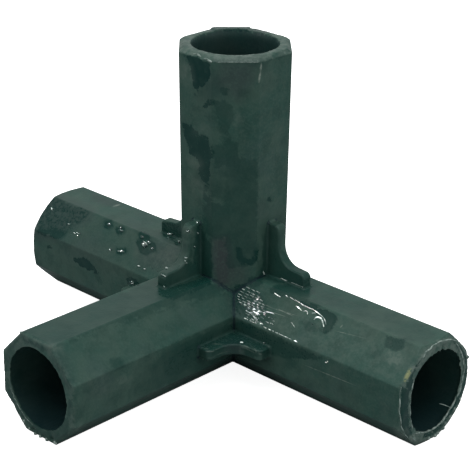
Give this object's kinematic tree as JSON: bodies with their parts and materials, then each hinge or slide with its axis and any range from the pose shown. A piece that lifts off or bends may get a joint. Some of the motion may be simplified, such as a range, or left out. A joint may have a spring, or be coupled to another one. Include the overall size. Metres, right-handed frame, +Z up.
{
  "type": "four-way tube connector",
  "caption": "Moulded corner connector that joins three level tubes in a T and one upright tube, with round blind sockets in octagonal arms and L-shaped corner webs.",
  "frame": {"origin": "on the surface that the level arms rest on, straight below the point where the axes of all four arms cross", "axes": "+Z up the upright arm, +X out along the right one of the two in-line arms, -Y out along the front arm"},
  "size_m": [0.1044, 0.0621, 0.0659],
  "materials": {
    "moulded_plastic": "satin moulded plastic, dark grey-green, with wet patches and worn pale rims"
  },
  "bodies": {
    "root": {"connector_body": "moulded_plastic"}
  },
  "joints": []
}
